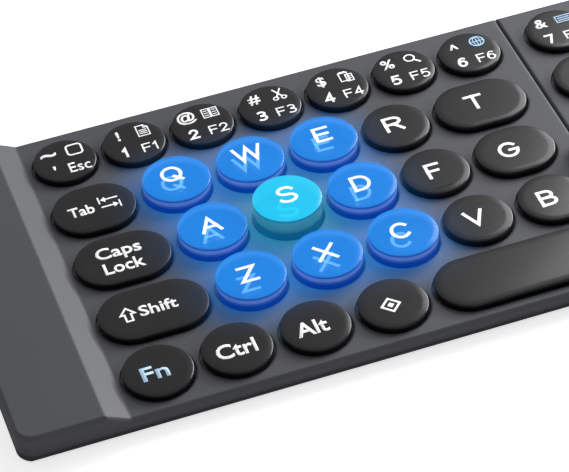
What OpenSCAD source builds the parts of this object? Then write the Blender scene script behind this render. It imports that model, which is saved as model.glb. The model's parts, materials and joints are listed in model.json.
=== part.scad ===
// Two-part folding keyboard, opened flat on a table.
// Origin: middle of the footprint, on the table. +X is to the typist's right, +Y away from the typist.
// The fold line runs along Y at X = 0, and the seam steps to the right in the front half.

/* [Keys] */
// Diameter of a letter key
key_d = 15; // [14.6:0.1:15.4]
// Diameter of a key in the number row
small_key_d = 14.2; // [13.6:0.1:14.6]
// Gap between two keys of a row
key_gap = 2.1; // [1.8:0.1:2.4]
// Distance from one row to the next
row_pitch = 17.8; // [17.4:0.1:18.4]
// Width of the tab key
tab_w = 18.6; // [16:0.2:20]
// Width of the caps lock key
caps_w = 21.2; // [18:0.2:22]
// Width of the left shift key
shift_w = 24; // [22:0.5:28]
// Key top above the deck
key_rise = 1.45; // [1.3:0.05:1.7]
// Distance that a key travels
travel = 1.2; // [1:0.1:1.3]
// Wall of a key cap
cap_wall = 0.9; // [0.7:0.1:1.1]
// Top plate of a key cap
cap_top = 0.9; // [0.7:0.1:1.1]
// Rounding of a key cap's upper edge
cap_edge = 0.3; // [0.2:0.05:0.5]
// Radial gap between a key cap and its well
well_gap = 0.45; // [0.3:0.05:0.5]

/* [Case] */
// Deck margin in front of the keys
front_margin = 3; // [2.8:0.1:5]
// Deck margin behind the keys
back_margin = 4; // [3.6:0.1:5]
// Deck margin between the two front rows and the seam
seam_margin = 5.2; // [4.8:0.1:6]
// Deck margin between the home row and the seam
home_margin = 5; // [4.4:0.1:6]
// Deck margin between the upper row and the seam
upper_margin = 4.5; // [4:0.1:6]
// Deck margin between the number row and the seam
small_margin = 3.5; // [3:0.1:5]
// Distance that the left number row starts inside the other rows
small_start = 0.5; // [0:0.1:1]
// Distance from the seam to the upper row of the right half
right_margin = 3.2; // [3:0.1:4]
// Stagger of the right half's rows
right_stagger = 3; // [2.8:0.1:3.4]
// Deck margin between the keys and the foot of the slope
slope_margin = 1.3; // [1:0.1:3]
// Length of the slope up to the end block
slope_run = 5.2; // [4.5:0.1:7]
// Length of the flat top of the end block
block_len = 18.4; // [17:0.1:22]
// Height of the end block above the deck
block_rise = 2.6; // [2.5:0.1:3.2]
// Height of the rubber rests that hold the closed halves apart
rest_h = 1.6; // [1.2:0.1:2]
// Width of a rubber rest
rest_w = 5; // [4:0.5:8]
// Length of a rubber rest
rest_len = 20; // [10:1:26]
// Radius of the outer corners, seen from above
corner_r = 4; // [3:0.5:6]
// Bevel around the upper edges
edge_bevel = 0.7; // [0.4:0.1:0.9]
// Bevel along the seam
seam_bevel = 0.35; // [0.2:0.05:0.6]
// Outer wall thickness
wall = 1.3; // [1.2:0.1:1.5]
// Deck plate thickness
deck_t = 1; // [0.8:0.1:1.3]
// Roof thickness of the end block
roof_t = 1; // [0.8:0.1:1.2]
// Bottom shell floor thickness
floor_t = 0.8; // [0.8:0.1:1.1]
// Width of the seam between the halves
seam_gap = 0.3; // [0.2:0.05:0.4]
// Step of the seam to the right in the front half
seam_step = 3; // [2.8:0.1:3.1]
// Height of the rubber feet below the case
foot_h = 0.5; // [0.4:0.1:1]
// Diameter of a rubber foot
foot_d = 8; // [6:0.5:9]

/* [Key bed] */
// Thickness of the steel support plate
plate_t = 0.3; // [0.2:0.05:0.5]
// Thickness of the contact foil
foil_t = 0.3; // [0.2:0.05:0.4]
// Thickness of the silicone dome sheet
sheet_t = 0.2; // [0.2:0.05:0.4]
// Diameter of a dome at its foot
dome_d = 5.6; // [5:0.1:6]

/* [Hinge] */
// Radius of the hinge pin
pin_r = 0.8; // [0.6:0.05:0.95]
// Radius of a hinge knuckle
knuckle_r = 1.8; // [1.6:0.05:2]
// Thickness of the hinge leaves
leaf_t = 0.8; // [0.6:0.1:0.9]
// Radial running clearance of the pin
pin_play = 0.05; // [0.03:0.01:0.1]

/* [Electronics] */
// Width of the battery pouch
battery_w = 11.6; // [10:0.2:12]
// Length of the battery pouch
battery_len = 37; // [30:1:39]
// Thickness of the battery pouch
battery_t = 3.5; // [3:0.1:3.6]
// Thickness of the main circuit board
board_t = 0.6; // [0.5:0.1:0.8]
// Height of the charging socket
socket_h = 2.5; // [2.4:0.1:2.6]
// Width of the charging socket
socket_w = 7.5; // [7:0.1:9]
// Travel of the power switch
switch_travel = 2; // [1.5:0.1:2.5]

/* [Hidden] */
$fn = 64;
past = 1;              // how far cutters run past a face
fit = 0.1;             // clearance between fixed pieces
press_gap = 0.25;      // room left under a fully pressed cap
skirt_lap = 0.25;      // height of a resting cap's lower edge above the deck's underside
close_gap = 0.2;       // room between facing keys when the halves are closed
fold_gap = 0.1;        // room between the rests and the left block when the halves are closed
rest_seat = 0.3;       // depth of the rests' seats in the right block
rest_y = 24;           // distance of the rests from the middle
lip_h = 0.6;           // height of the bottom shell's wall above its floor
boss_r = 1.6;          // screw bosses of the deck
boss_room = 0.4;       // room around a boss in the key bed
screw_r = 0.6;
screw_head_r = 1.3;
screw_head_h = 0.5;
magnet_r = 3;
magnet_t = 1.6;
slope_bevel = edge_bevel - 0.1;  // a little smaller, so that the bevels cross at the slope's ends
foot_inset = 8.4;      // foot centres from the front and back edges
foot_fold = 12;        // foot centres from the fold line

// Heights, from the table up
floor_top = foot_h + floor_t;
foil_z = floor_top + plate_t;
sheet_z = foil_z + foil_t;
sheet_top = sheet_z + sheet_t;
lip_z = floor_top + lip_h;
cap_z = sheet_top + press_gap + travel;
deck_under = cap_z - skirt_lap;
deck_z = deck_under + deck_t;
key_z = deck_z + key_rise;
block_z = deck_z + block_rise;
roof_under = block_z - roof_t;
hinge_z = block_z + (rest_h + fold_gap) / 2;
boss_gap_z = 0.3;      // the screw thread ends this far below the deck's surface
dome_gap = 0.25;       // a dome ends this far below the inside of its cap
cap_roof = key_z - cap_top;
dome_z = cap_roof - dome_gap;

// Nine keys carry a raised clear cap. The tallest one still clears the key that it faces when closed.
tall_rise = 2 * (hinge_z - deck_z) - key_rise - close_gap;
lit_step = 1.9;        // the tallest key stands this much above the other raised ones
lit_rise = tall_rise - lit_step;
lit_inset = 0.15;

// Plan
field_w = shift_w + 5 * (key_d + key_gap);
left_x = -(seam_margin + field_w);
slope_x = left_x - slope_margin;
crest_x = slope_x - slope_run;
end_x = crest_x - block_len;
case_depth = 4 * row_pitch + (key_d + small_key_d) / 2 + front_margin + back_margin;
front_y = -case_depth / 2;
space_y = front_y + front_margin + key_d / 2;
row_y = [for (i = [4:-1:0]) space_y + i * row_pitch];
jog_y = row_y[2] + 1.1;

// Where each row ends at the seam, for the left half and for the right half
left_ends = [-small_margin, -upper_margin, -home_margin, -seam_margin, -seam_margin];
right_starts = [right_margin + 0.7, right_margin, right_margin + right_stagger,
                right_margin + 2 * right_stagger, right_margin + right_stagger];

// Seam position of the back and the front half, for the left side and for the mirrored right side
left_seam = [-seam_gap / 2, seam_step - seam_gap / 2];
right_seam = [-seam_gap / 2, -seam_step - seam_gap / 2];

function sum(v, i = 0) = i < len(v) ? v[i] + sum(v, i + 1) : 0;

// Keys of one row as [name, x, width, depth, y]. A width of 0 takes what the other keys leave.
// A row with no such key spreads its keys evenly.
function row_keys(names, widths, depth, y, x0, x1) =
    let (n = len(widths),
         used = sum(widths),
         gap = min(widths) == 0 ? key_gap : (x1 - x0 - used) / (n - 1),
         ws = [for (w = widths) w > 0 ? w : x1 - x0 - used - gap * (n - 1)])
    [for (i = 0, x = x0; i < n; x = x + ws[i] + gap, i = i + 1) [names[i], x + ws[i] / 2, ws[i], depth, y]];

function same(w, n) = [for (i = [1:n]) w];

number_names = ["key_esc", "key_1", "key_2", "key_3", "key_4", "key_5", "key_6"];
upper_names = ["key_tab", "key_q", "key_w", "key_e", "key_r", "key_t"];
home_names = ["key_caps", "key_a", "key_s", "key_d", "key_f", "key_g"];
lower_names = ["key_shift", "key_z", "key_x", "key_c", "key_v", "key_b"];
space_names = ["key_fn", "key_ctrl", "key_alt", "key_command", "key_space_left"];
lit_names = ["key_q", "key_w", "key_e", "key_a", "key_d", "key_z", "key_x", "key_c"];
tall_name = "key_s";

left_names = [number_names, upper_names, home_names, lower_names, space_names];
left_widths = [
    same(small_key_d, 7),
    concat([tab_w], same(key_d, 4), [0]),
    concat([caps_w], same(key_d, 4), [0]),
    concat([shift_w], same(key_d, 4), [0]),
    concat(same(key_d, 4), [0])
];
left_rows = [for (i = [0:4]) row_keys(left_names[i], left_widths[i], i == 0 ? small_key_d : key_d, row_y[i],
                                      i == 0 ? left_x + small_start : left_x, left_ends[i])];
right_names = ["keys_right_numbers", "keys_right_upper", "keys_right_home", "keys_right_lower",
               "keys_right_space"];
right_widths = [
    same(small_key_d, 7),
    concat(same(key_d, 5), [0]),
    concat(same(key_d, 5), [0]),
    concat(same(key_d, 5), [0]),
    concat([0], same(key_d, 4))
];
right_rows = [for (i = [0:4]) row_keys(same(right_names[i], 7), right_widths[i],
                                       i == 0 ? small_key_d : key_d, row_y[i], right_starts[i], -left_x)];
left_keys = [for (r = left_rows) each r];
right_keys = [for (r = right_rows) each r];
mirrored_right_keys = [for (k = right_keys) [k[0], -k[1], k[2], k[3], k[4]]];

// Screws sit in the widest gaps between the rows, and beside the battery
function between(a, b) = [(a[1] + b[1]) / 2, (a[4] + b[4]) / 2];
left_bed_screws = [
    between(left_rows[1][2], left_rows[2][1]), between(left_rows[1][4], left_rows[2][3]),
    between(left_rows[2][2], left_rows[3][1]), between(left_rows[2][4], left_rows[3][3])
];
right_bed_screws = [
    between(right_rows[1][2], right_rows[2][1]), between(right_rows[1][4], right_rows[2][3]),
    between(right_rows[2][2], right_rows[3][1]), between(right_rows[2][4], right_rows[3][3])
];
block_boss_r = 2;
block_screw_x = crest_x - 3;
block_screw_y = case_depth / 2 - wall - 3.2;
block_screws = [[block_screw_x, block_screw_y], [block_screw_x, -block_screw_y]];
mirrored_right_screws = [for (p = right_bed_screws) [-p[0], p[1]]];
foot_y = case_depth / 2 - foot_inset;
foot_spots = [for (x = [crest_x - block_len / 2, -foot_fold], y = [-foot_y, foot_y]) [x, y]];
magnet_y = 1 - block_screw_y;

// The layers of the key bed end below the slope and stay clear of the seam's walls
bed_end = slope_x - 3.5;
bed_seam = 2.3;

// Hinge knuckles along Y: the right half's lie where no key well comes near
hinge_front = front_y + 1.5;
hinge_back = jog_y - 3.5;
right_knuckles = [
    [hinge_front, row_y[4] - 5.5],
    [row_y[4] + 7, row_y[3] - 5],
    [row_y[3] + 5, row_y[2] - 7]
];
left_knuckles = [
    [right_knuckles[0][1], right_knuckles[1][0]],
    [right_knuckles[1][1], right_knuckles[2][0]],
    [right_knuckles[2][1], hinge_back]
];
knuckle_gap = 0.2;     // side play between neighbouring knuckles
post_half = 1.5;       // half the width of a left knuckle's post
arm_x = 4.6;           // inner face of the right knuckles' arms
arm_t = 1.4;
tab_len = 3;
leaf_x = [-seam_margin + 0.6, 1.4];
stake_r = 0.5;         // plastic stakes of the decks that hold the leaves
stake_h = leaf_t + 0.1;
left_stakes = [for (y = right_knuckles) [leaf_x[0] + 1, (y[0] + y[1]) / 2]];
right_stakes = [for (y = right_knuckles) [arm_x + tab_len - 0.8, (y[0] + y[1]) / 2]];

// Electronics in the left end block
part_gap = 0.7;        // least room between neighbours in the block
bay_x = crest_x - 1.2;
bay_start = end_x + wall + 0.8;
battery_y = magnet_y + magnet_r + 2 * part_gap;
battery_tab = [6, 1.5, 0.8];
board_x = [bay_start, block_screw_x - block_boss_r - part_gap];
board_y = [battery_y + battery_len + battery_tab[1] + 2 * part_gap, case_depth / 2 - wall - 0.5];
board_mid = [(board_x[0] + board_x[1]) / 2, (board_y[0] + board_y[1]) / 2];
board_z = sheet_z;
board_top = board_z + board_t;
radio_can = [7, 7, 1.2];
processor = [5, 5, 0.9];
socket_y = board_mid[1];
socket_depth = 5.5;
socket_shell = 0.3;
tongue = [5.2, 0.6];
switch_knob = [2, 1.2];
switch_body = [4.6, 3.2, 2];
switch_x = board_mid[0] - switch_travel / 2;
switch_z = board_top + switch_body[2] / 2;
light_r = 0.6;
light_spot = [board_mid[0], board_y[0] + radio_can[1] + 3];
foil_tail = [board_y[0] + 6, board_y[0] + 14];

// Outline of one half seen from above, in the left half's place
module plan(inset, seam, seam_inset) {
    x = end_x + inset;
    y = case_depth / 2 - inset;
    r = corner_r - inset > 0.5 ? corner_r - inset : 0.5;
    back_x = seam[0] - seam_inset;
    front_x = seam[1] - seam_inset;
    step_y = jog_y + sign(seam[0] - seam[1]) * (seam_gap / 2 + inset);
    polygon([[x + r, -y], [front_x, -y], [front_x, step_y], [back_x, step_y], [back_x, y],
             [x + r, y], [x, y - r], [x, r - y]]);
    for (side = [-1, 1]) translate([x + r, side * (y - r)]) circle(r);
}

// Key outline: a disc, or a bar with round ends
module key_outline(w, d) {
    s = (w - d) / 2;
    for (x = s > 0.05 ? [-s, s] : [0]) translate([x, 0]) circle(d = d);
    if (s > 0.05) square([2 * s, d], center = true);
}

module cap_profile(r, z0, z1, edge) {
    translate([0, z0]) square([r, z1 - edge - z0]);
    translate([0, z0]) square([r - edge, z1 - z0]);
    translate([r - edge, z1 - edge]) circle(edge);
}

module cap_form(w, d, z0, z1, edge) {
    s = (w - d) / 2;
    for (x = s > 0.05 ? [-s, s] : [0]) translate([x, 0, 0]) rotate_extrude() cap_profile(d / 2, z0, z1, edge);
    if (s > 0.05) rotate([90, 0, 90]) linear_extrude(2 * s, center = true) {
        cap_profile(d / 2, z0, z1, edge);
        mirror([1, 0]) cap_profile(d / 2, z0, z1, edge);
    }
}

// Hollow key cap with the dome's pressing boss and two guide rails, four on a wide key
module key_cap(k) {
    w = k[2];
    d = k[3];
    s = (w - d) / 2;
    rail_x = 4.2;
    rail = [0.8, 7];
    translate([k[1], k[4], 0]) {
        difference() {
            cap_form(w, d, cap_z, key_z, cap_edge);
            translate([0, 0, cap_z - past]) linear_extrude(cap_roof - cap_z + past)
                key_outline(w - 2 * cap_wall, d - 2 * cap_wall);
        }
        translate([0, 0, dome_z]) cylinder(r = 1.6, h = cap_roof - dome_z + cap_top / 2);
        for (x = s > rail_x ? [-s - rail_x, -rail_x, rail_x, s + rail_x] : [-rail_x, rail_x])
            translate([x - rail[0] / 2, -rail[1] / 2, cap_z + 0.3])
                cube([rail[0], rail[1], cap_roof - cap_z - 0.3 + cap_top / 2]);
    }
}

module clear_cap(k, rise) {
    translate([k[1], k[4], 0])
        cap_form(k[2] - 2 * lit_inset, k[3] - 2 * lit_inset, key_z, deck_z + rise, cap_edge);
}

module left_key(k) {
    lit = len([for (n = lit_names) if (n == k[0]) n]) > 0;
    if (k[0] == tall_name) color([0.05, 0.62, 0.78, 0.8]) {
        key_cap(k);
        clear_cap(k, tall_rise);
    } else if (lit) color([0.03, 0.32, 0.85, 0.8]) {
        key_cap(k);
        clear_cap(k, lit_rise);
    } else color([0.13, 0.13, 0.14]) key_cap(k);
}

module right_key_row(i) {
    color([0.13, 0.13, 0.14]) for (k = right_rows[i]) key_cap(k);
}

// Straight bevel cutter along X, centred on the origin
module bevel_x(len, size) {
    rotate([45, 0, 0]) cube([len, size * sqrt(2), size * sqrt(2)], center = true);
}

// Bevel cutter around one outer corner
module bevel_corner(size) {
    rotate_extrude(angle = 90) polygon([[corner_r - size, 0], [corner_r + past, 0],
                                        [corner_r + past, -size - past]]);
}

module deck_bevels(seam) {
    half = case_depth / 2;
    slope_angle = atan2(block_rise, slope_run);
    slope_len = norm([block_rise, slope_run]);
    for (side = [-1, 1]) {
        translate([(slope_x + seam_step + past) / 2, side * half, deck_z])
            bevel_x(seam_step + past - slope_x + 0.1, edge_bevel);
        translate([(slope_x + crest_x) / 2, side * half, (deck_z + block_z) / 2])
            rotate([0, slope_angle, 0]) bevel_x(slope_len + 0.3, slope_bevel);
        translate([(end_x + corner_r + crest_x) / 2, side * half, block_z])
            bevel_x(crest_x - end_x - corner_r, edge_bevel);
        translate([end_x + corner_r, side * (half - corner_r), block_z])
            rotate([0, 0, side > 0 ? 90 : 180]) bevel_corner(edge_bevel);
    }
    translate([end_x, 0, block_z]) rotate([0, 0, 90]) bevel_x(case_depth - 2 * corner_r, edge_bevel);
    translate([seam[0], (jog_y + half + past) / 2, deck_z]) rotate([0, 0, 90])
        bevel_x(half + past - jog_y, seam_bevel);
    translate([seam[1], (jog_y - half - past) / 2, deck_z]) rotate([0, 0, 90])
        bevel_x(half + past + jog_y, seam_bevel);
}

// Upper moulding of one half: deck plate with key wells, slope, end block, walls and screw bosses
module deck(seam, keys, bed_screws) {
    difference() {
        union() {
            difference() {
                intersection() {
                    translate([0, 0, lip_z]) linear_extrude(block_z - lip_z) plan(0, seam, 0);
                    rotate([90, 0, 0]) linear_extrude(case_depth + past, center = true)
                        polygon([[end_x - past, lip_z], [seam_step + past, lip_z], [seam_step + past, deck_z],
                                 [slope_x, deck_z], [crest_x, block_z], [end_x - past, block_z]]);
                }
                translate([0, 0, lip_z - past]) linear_extrude(deck_under - lip_z + past)
                    plan(wall, seam, wall);
                intersection() {
                    translate([0, 0, lip_z]) linear_extrude(roof_under - lip_z) plan(wall, seam, wall);
                    translate([end_x, front_y, 0]) cube([bay_x - end_x, case_depth, block_z]);
                }
                for (k = keys) translate([k[1], k[4], deck_under - past])
                    linear_extrude(deck_t + 2 * past) key_outline(k[2] + 2 * well_gap, k[3] + 2 * well_gap);
            }
            for (p = bed_screws) translate([p[0], p[1], lip_z])
                cylinder(r = boss_r, h = deck_under - lip_z + deck_t / 2);
            for (p = block_screws) translate([p[0], p[1], lip_z])
                cylinder(r = block_boss_r, h = roof_under - lip_z + roof_t / 2);
        }
        deck_bevels(seam);
        for (p = concat(bed_screws, block_screws)) translate([p[0], p[1], lip_z - past])
            cylinder(r = screw_r + 0.02, h = deck_z - boss_gap_z - lip_z + past);
    }
}

// Lower moulding of one half: a shallow tray with screw seats and foot recesses
module tray(seam, bed_screws) {
    screws = concat(bed_screws, block_screws);
    difference() {
        union() {
            difference() {
                translate([0, 0, foot_h]) linear_extrude(lip_z - foot_h) plan(0, seam, 0);
                translate([0, 0, floor_top]) linear_extrude(lip_h + past) plan(wall, seam, wall);
            }
            for (p = screws) translate([p[0], p[1], foot_h]) cylinder(r = boss_r + 0.2, h = lip_z - foot_h);
        }
        for (p = screws) translate([p[0], p[1], 0]) {
            cylinder(r = screw_head_r + fit, h = foot_h + screw_head_h);
            cylinder(r = screw_r + fit, h = lip_z + past);
        }
        for (p = foot_spots) translate([p[0], p[1], 0]) cylinder(d = foot_d + 2 * fit, h = foot_h + 0.3);
        for (side = [-1, 1]) translate([end_x / 2, side * case_depth / 2, foot_h])
            bevel_x(-end_x + 2 * seam_step + 2 * past, 0.4);
    }
}

module screws(bed_screws) {
    for (p = concat(bed_screws, block_screws)) translate([p[0], p[1], foot_h]) {
        cylinder(r = screw_head_r, h = screw_head_h);
        cylinder(r = screw_r, h = deck_z - boss_gap_z - foot_h - fit);
    }
}

module feet() {
    for (p = foot_spots) translate([p[0], p[1], 0]) cylinder(d = foot_d, h = foot_h + 0.3);
}

// Outline of the key bed's layers
module bed_outline(seam, bed_screws) {
    difference() {
        intersection() {
            plan(wall + fit, seam, bed_seam);
            translate([bed_end, front_y]) square([seam_step - bed_end, case_depth]);
        }
        for (p = bed_screws) translate(p) circle(boss_r + 0.2 + boss_room);
    }
}

module support_plate(seam, bed_screws) {
    translate([0, 0, floor_top]) linear_extrude(plate_t) bed_outline(seam, bed_screws);
}

module dome_sheet(seam, keys, bed_screws) {
    difference() {
        union() {
            translate([0, 0, sheet_z]) linear_extrude(sheet_t) bed_outline(seam, bed_screws);
            for (k = keys) translate([k[1], k[4], sheet_top - 0.05])
                cylinder(d1 = dome_d, d2 = 3, h = dome_z - sheet_top + 0.05);
        }
        for (k = keys) translate([k[1], k[4], sheet_z - 0.01])
            cylinder(d1 = dome_d - 0.8, d2 = 2.2, h = dome_z - sheet_z - 0.4);
    }
}

module magnet() {
    translate([crest_x - block_len / 2, magnet_y, roof_under - magnet_t])
        cylinder(r = magnet_r, h = magnet_t);
}

module stakes(spots, radius, height) {
    for (p = spots) translate([p[0], p[1], deck_under - height])
        cylinder(r = radius, h = height + deck_t / 2);
}

module left_deck() {
    color([0.3, 0.31, 0.33]) stakes(left_stakes, stake_r, stake_h);
    color([0.3, 0.31, 0.33]) difference() {
        deck(left_seam, left_keys, left_bed_screws);
        for (y = left_knuckles) translate([-post_half - fit, y[0] + knuckle_gap / 2 - fit, deck_under - past])
            cube([2 * (post_half + fit), y[1] - y[0] - knuckle_gap + 2 * fit, deck_t + 2 * past]);
        translate([end_x - past, socket_y - socket_w / 2 - fit, board_top - fit])
            cube([wall + 2 * past, socket_w + 2 * fit, socket_h + 2 * fit]);
        translate([switch_x - switch_knob[0] / 2 - fit, case_depth / 2 - wall - past,
                   switch_z - switch_knob[1] / 2 - fit])
            cube([switch_knob[0] + switch_travel + 2 * fit, wall + 2 * past, switch_knob[1] + 2 * fit]);
        translate([light_spot[0], light_spot[1], roof_under - past])
            cylinder(r = light_r + 0.02, h = roof_t + 2 * past);
    }
}

// Rubber rests with round ends, given their outline's offset and height
module rest_shapes(grow, z0, z1) {
    for (side = [-1, 1]) translate([-crest_x + block_len / 2, side * rest_y, z0]) linear_extrude(z1 - z0) {
        square([rest_w + 2 * grow, rest_len - rest_w], center = true);
        for (end = [-1, 1]) translate([0, end * (rest_len - rest_w) / 2]) circle(d = rest_w + 2 * grow);
    }
}

module right_rests() {
    color([0.08, 0.08, 0.08]) rest_shapes(0, block_z - rest_seat, block_z + rest_h);
}

module right_deck() {
    color([0.3, 0.31, 0.33]) stakes(right_stakes, stake_r, stake_h);
    color([0.3, 0.31, 0.33]) difference() {
        mirror([1, 0, 0]) deck(right_seam, mirrored_right_keys, mirrored_right_screws);
        for (y = right_knuckles) translate([arm_x - fit, y[0] + knuckle_gap / 2 - fit, deck_under - past])
            cube([arm_t + 2 * fit, y[1] - y[0] - knuckle_gap + 2 * fit, deck_t + 2 * past]);
        rest_shapes(fit, block_z - rest_seat, block_z + past);
    }
}

module left_bottom_shell() {
    color([0.24, 0.25, 0.27]) {
        tray(left_seam, left_bed_screws);
        for (y = [board_y[0] + 3, board_y[1] - 8])
            translate([board_mid[0], y, floor_top - 0.2])
                cylinder(r = 1.5, h = board_z - floor_top + 0.2);
    }
}

module right_bottom_shell() {
    color([0.24, 0.25, 0.27]) mirror([1, 0, 0]) tray(right_seam, mirrored_right_screws);
}

module left_feet() {
    color([0.08, 0.08, 0.08]) feet();
}

module right_feet() {
    color([0.08, 0.08, 0.08]) mirror([1, 0, 0]) feet();
}

module left_screws() {
    color([0.5, 0.5, 0.52]) screws(left_bed_screws);
}

module right_screws() {
    color([0.5, 0.5, 0.52]) mirror([1, 0, 0]) screws(mirrored_right_screws);
}

module left_support_plate() {
    color([0.62, 0.64, 0.66]) support_plate(left_seam, left_bed_screws);
}

module right_support_plate() {
    color([0.62, 0.64, 0.66]) mirror([1, 0, 0]) support_plate(right_seam, mirrored_right_screws);
}

// Contact foil of the left half, with the tail that runs under the main board
module left_contact_foil() {
    color([0.75, 0.72, 0.5]) translate([0, 0, foil_z]) linear_extrude(foil_t) {
        bed_outline(left_seam, left_bed_screws);
        translate([board_x[1] - 3, foil_tail[0]])
            square([bed_end - board_x[1] + 4, foil_tail[1] - foil_tail[0]]);
    }
}

module right_contact_foil() {
    color([0.75, 0.72, 0.5]) mirror([1, 0, 0]) translate([0, 0, foil_z]) linear_extrude(foil_t)
        bed_outline(right_seam, mirrored_right_screws);
}

module left_dome_sheet() {
    color([0.85, 0.85, 0.82]) dome_sheet(left_seam, left_keys, left_bed_screws);
}

module right_dome_sheet() {
    color([0.85, 0.85, 0.82]) mirror([1, 0, 0])
        dome_sheet(right_seam, mirrored_right_keys, mirrored_right_screws);
}

// Battery pouch with rounded long edges
module battery() {
    r = battery_t / 2;
    color([0.7, 0.71, 0.73]) translate([bay_start + battery_w / 2, battery_y, floor_top + fit + r]) {
        rotate([-90, 0, 0]) linear_extrude(battery_len) {
            square([battery_w - 2 * r, 2 * r], center = true);
            for (side = [-1, 1]) translate([side * (battery_w / 2 - r), 0]) circle(r);
        }
        translate([-battery_tab[0] / 2, battery_len, -battery_tab[2] / 2]) cube(battery_tab);
    }
}

// Circuit board with its radio can, processor and the fixed body of the switch
module main_board() {
    color([0.05, 0.3, 0.18]) translate([board_x[0], board_y[0], board_z])
        cube([board_x[1] - board_x[0], board_y[1] - board_y[0], board_t]);
    color([0.6, 0.6, 0.62]) translate([0, 0, board_top]) {
        translate([board_mid[0] - radio_can[0] / 2, board_y[0] + 1]) cube(radio_can);
        translate([board_mid[0] - processor[0] / 2, board_y[1] - 1 - switch_body[1] - 3 - processor[1]])
            cube(processor);
        translate([switch_x - switch_body[0] / 2, board_y[1] - 1 - switch_body[1]])
            cube(switch_body + [switch_travel, 0, 0]);
    }
}

// Drawn shell of the charging socket, open at the case wall, with its contact tongue
module charging_socket() {
    front = end_x + 0.4;
    color([0.7, 0.7, 0.72]) difference() {
        translate([front, socket_y - socket_w / 2, board_top]) cube([socket_depth, socket_w, socket_h]);
        translate([front - past, socket_y - socket_w / 2 + socket_shell, board_top + socket_shell])
            cube([socket_depth - 0.5 + past, socket_w - 2 * socket_shell, socket_h - 2 * socket_shell]);
    }
    color([0.1, 0.1, 0.1])
        translate([front + 1, socket_y - tongue[0] / 2, board_top + (socket_h - tongue[1]) / 2])
            cube([socket_depth - 1.4, tongue[0], tongue[1]]);
}

module power_switch() {
    y = case_depth / 2 - wall;
    color([0.12, 0.12, 0.13]) {
        translate([switch_x - switch_knob[0] / 2, y - 0.45, switch_z - switch_knob[1] / 2])
            cube([switch_knob[0], wall + 0.25, switch_knob[1]]);
        translate([switch_x - 1.6, y - 0.6, switch_z - 0.8]) cube([3.2, 0.4, 1.6]);
    }
}

module status_light() {
    color([0.9, 0.95, 1, 0.6]) translate([light_spot[0], light_spot[1], board_top + 1.4])
        cylinder(r = light_r, h = block_z - board_top - 1.4);
}

module left_magnet() {
    color([0.75, 0.75, 0.77]) magnet();
}

module right_magnet() {
    color([0.75, 0.75, 0.77]) mirror([1, 0, 0]) magnet();
}

module pin_bore() {
    translate([0, hinge_front - past, hinge_z]) rotate([-90, 0, 0])
        cylinder(r = pin_r + pin_play, h = hinge_back - hinge_front + 2 * past);
}

module knuckle(y) {
    translate([0, y[0] + knuckle_gap / 2, hinge_z]) rotate([-90, 0, 0])
        cylinder(r = knuckle_r, h = y[1] - y[0] - knuckle_gap);
}

// Leaf under the left deck, with posts that rise through it to the knuckles
module hinge_left_leaf() {
    color([0.45, 0.46, 0.48]) difference() {
        union() {
            translate([leaf_x[0], hinge_front, deck_under - leaf_t])
                cube([leaf_x[1] - leaf_x[0], hinge_back - hinge_front, leaf_t]);
            for (y = left_knuckles) {
                knuckle(y);
                translate([-post_half, y[0] + knuckle_gap / 2, deck_under - leaf_t])
                    cube([2 * post_half, y[1] - y[0] - knuckle_gap, hinge_z - deck_under + leaf_t]);
            }
        }
        stakes(left_stakes, stake_r + 0.05, stake_h + past);
        pin_bore();
    }
}

// Strip under the right deck, with arms that reach over the left half's step to the knuckles
module hinge_right_leaf() {
    color([0.45, 0.46, 0.48]) difference() {
        union() {
            translate([arm_x, hinge_front, deck_under - leaf_t])
                cube([0.8, right_knuckles[2][1] - hinge_front, leaf_t]);
            for (y = right_knuckles) {
                knuckle(y);
                translate([0, y[0] + knuckle_gap / 2, 0]) {
                    translate([0, 0, hinge_z - 1.6]) cube([arm_x + arm_t, y[1] - y[0] - knuckle_gap, 1.6]);
                    translate([arm_x, 0, deck_under - leaf_t])
                        cube([arm_t, y[1] - y[0] - knuckle_gap, hinge_z - deck_under + leaf_t]);
                    translate([arm_x, 0, deck_under - leaf_t])
                        cube([tab_len, y[1] - y[0] - knuckle_gap, leaf_t]);
                }
            }
        }
        stakes(right_stakes, stake_r + 0.05, stake_h + past);
        pin_bore();
    }
}

module hinge_pin() {
    color([0.75, 0.76, 0.78]) translate([0, hinge_front + 0.2, hinge_z]) rotate([-90, 0, 0])
        cylinder(r = pin_r, h = hinge_back - hinge_front - 0.4);
}

left_bottom_shell();
left_deck();
left_feet();
left_screws();
left_support_plate();
left_contact_foil();
left_dome_sheet();
battery();
main_board();
charging_socket();
power_switch();
status_light();
left_magnet();
hinge_left_leaf();
hinge_pin();
hinge_right_leaf();
right_bottom_shell();
right_deck();
right_feet();
right_screws();
right_support_plate();
right_contact_foil();
right_dome_sheet();
right_magnet();
right_rests();
for (i = [0:4]) right_key_row(i);
for (k = left_keys) left_key(k);
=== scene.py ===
import json
import math

import bmesh
import bpy
from mathutils import Matrix, Vector

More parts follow.
